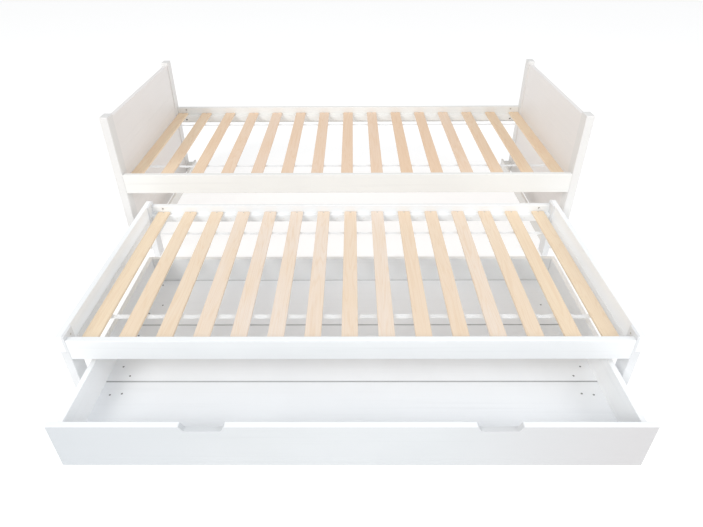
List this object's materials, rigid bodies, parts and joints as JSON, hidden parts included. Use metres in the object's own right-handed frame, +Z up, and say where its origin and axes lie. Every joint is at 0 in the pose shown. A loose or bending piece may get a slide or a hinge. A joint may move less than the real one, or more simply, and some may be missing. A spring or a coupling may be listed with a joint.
{
  "type": "trundle bed",
  "caption": "Slatted wooden bed with boarded ends; a lower slatted trundle bed rolls out from under it and a flat drawer on castors rolls out from under the trundle.",
  "frame": {"origin": "on the floor, at the middle of the whole object with the trundle and the drawer pulled out", "axes": "+X along the bed to the right as seen from the drawer, +Y towards the back, +Z up"},
  "size_m": [2.088, 2.173, 0.662],
  "materials": {
    "white_paint": "satin white paint on pine",
    "white_panel": "satin white paint on boards",
    "white_batten": "satin white paint on pine battens",
    "white_board": "satin white paint on thin boards",
    "slat_wood": "bare planed wood, matt",
    "tape": "woven webbing",
    "zinc": "zinc plated",
    "bracket": "dark grey pressed steel",
    "roller": "black moulded plastic",
    "glide": "grey moulded plastic"
  },
  "bodies": {
    "bed": {"bed_barrel_nuts": "zinc", "bed_end_panel_left": "white_panel", "bed_end_panel_right": "white_panel", "bed_glides": "glide", "bed_guide_board_left": "white_paint", "bed_guide_board_right": "white_paint", "bed_guide_screws": "zinc", "bed_guide_spacers": "white_batten", "bed_ledger_front": "white_batten", "bed_ledger_rear": "white_batten", "bed_ledger_screws": "zinc", "bed_post_front_left": "white_paint", "bed_post_front_right": "white_paint", "bed_post_rear_left": "white_paint", "bed_post_rear_right": "white_paint", "bed_rail_bolts": "zinc", "bed_rail_front": "white_paint", "bed_rail_rear": "white_paint", "bed_slat_screws": "zinc", "bed_slat_tapes": "tape", "bed_slats": "slat_wood"},
    "trundle": {"trundle_barrel_nuts": "zinc", "trundle_end_apron_left": "white_paint", "trundle_end_apron_right": "white_paint", "trundle_end_rail_left": "white_paint", "trundle_end_rail_right": "white_paint", "trundle_end_screws": "zinc", "trundle_ledger_front": "white_batten", "trundle_ledger_rear": "white_batten", "trundle_ledger_screws": "zinc", "trundle_leg_front_left": "white_paint", "trundle_leg_front_right": "white_paint", "trundle_leg_rear_left": "white_paint", "trundle_leg_rear_right": "white_paint", "trundle_rail_bolts": "zinc", "trundle_rail_front": "white_paint", "trundle_rail_rear": "white_paint", "trundle_roller_axles": "zinc", "trundle_slat_screws": "zinc", "trundle_slat_tapes": "tape", "trundle_slats": "slat_wood"},
    "drawer": {"drawer_back": "white_paint", "drawer_battens": "white_batten", "drawer_castor_axles": "zinc", "drawer_castors": "bracket", "drawer_corner_screws": "zinc", "drawer_floor_boards": "white_board", "drawer_floor_screws": "zinc", "drawer_front": "white_paint", "drawer_side_left": "white_paint", "drawer_side_right": "white_paint"},
    "trundle_roller_front_left": {"trundle_roller_front_left": "roller"},
    "trundle_roller_front_right": {"trundle_roller_front_right": "roller"},
    "trundle_roller_rear_left": {"trundle_roller_rear_left": "roller"},
    "trundle_roller_rear_right": {"trundle_roller_rear_right": "roller"},
    "drawer_wheel_front_left": {"drawer_wheel_front_left": "roller"},
    "drawer_wheel_front_right": {"drawer_wheel_front_right": "roller"},
    "drawer_wheel_rear_left": {"drawer_wheel_rear_left": "roller"},
    "drawer_wheel_rear_right": {"drawer_wheel_rear_right": "roller"}
  },
  "joints": [
    {"name": "trundle_slide", "type": "slide", "parent": "bed", "child": "trundle", "axis": [0, -1, 0], "range_m": [-0.937, 0.25]},
    {"name": "drawer_slide", "type": "slide", "parent": "trundle", "child": "drawer", "axis": [0, -1, 0], "range_m": [-0.262, 0.6]},
    {"name": "trundle_roller_front_left_spin", "type": "hinge", "parent": "trundle", "child": "trundle_roller_front_left", "pos_m": [-0.91, -0.7755, 0.013], "axis": [1, 0, 0], "continuous": true},
    {"name": "trundle_roller_front_right_spin", "type": "hinge", "parent": "trundle", "child": "trundle_roller_front_right", "pos_m": [0.942, -0.7755, 0.013], "axis": [1, 0, 0], "continuous": true},
    {"name": "trundle_roller_rear_left_spin", "type": "hinge", "parent": "trundle", "child": "trundle_roller_rear_left", "pos_m": [-0.91, 0.0935, 0.013], "axis": [1, 0, 0], "continuous": true},
    {"name": "trundle_roller_rear_right_spin", "type": "hinge", "parent": "trundle", "child": "trundle_roller_rear_right", "pos_m": [0.942, 0.0935, 0.013], "axis": [1, 0, 0], "continuous": true},
    {"name": "drawer_wheel_front_left_spin", "type": "hinge", "parent": "drawer", "child": "drawer_wheel_front_left", "pos_m": [-0.76, -0.7835, 0.011], "axis": [1, 0, 0], "continuous": true},
    {"name": "drawer_wheel_front_right_spin", "type": "hinge", "parent": "drawer", "child": "drawer_wheel_front_right", "pos_m": [0.8, -0.7835, 0.011], "axis": [1, 0, 0], "continuous": true},
    {"name": "drawer_wheel_rear_left_spin", "type": "hinge", "parent": "drawer", "child": "drawer_wheel_rear_left", "pos_m": [-0.76, -0.3865, 0.011], "axis": [1, 0, 0], "continuous": true},
    {"name": "drawer_wheel_rear_right_spin", "type": "hinge", "parent": "drawer", "child": "drawer_wheel_rear_right", "pos_m": [0.8, -0.3865, 0.011], "axis": [1, 0, 0], "continuous": true}
  ]
}
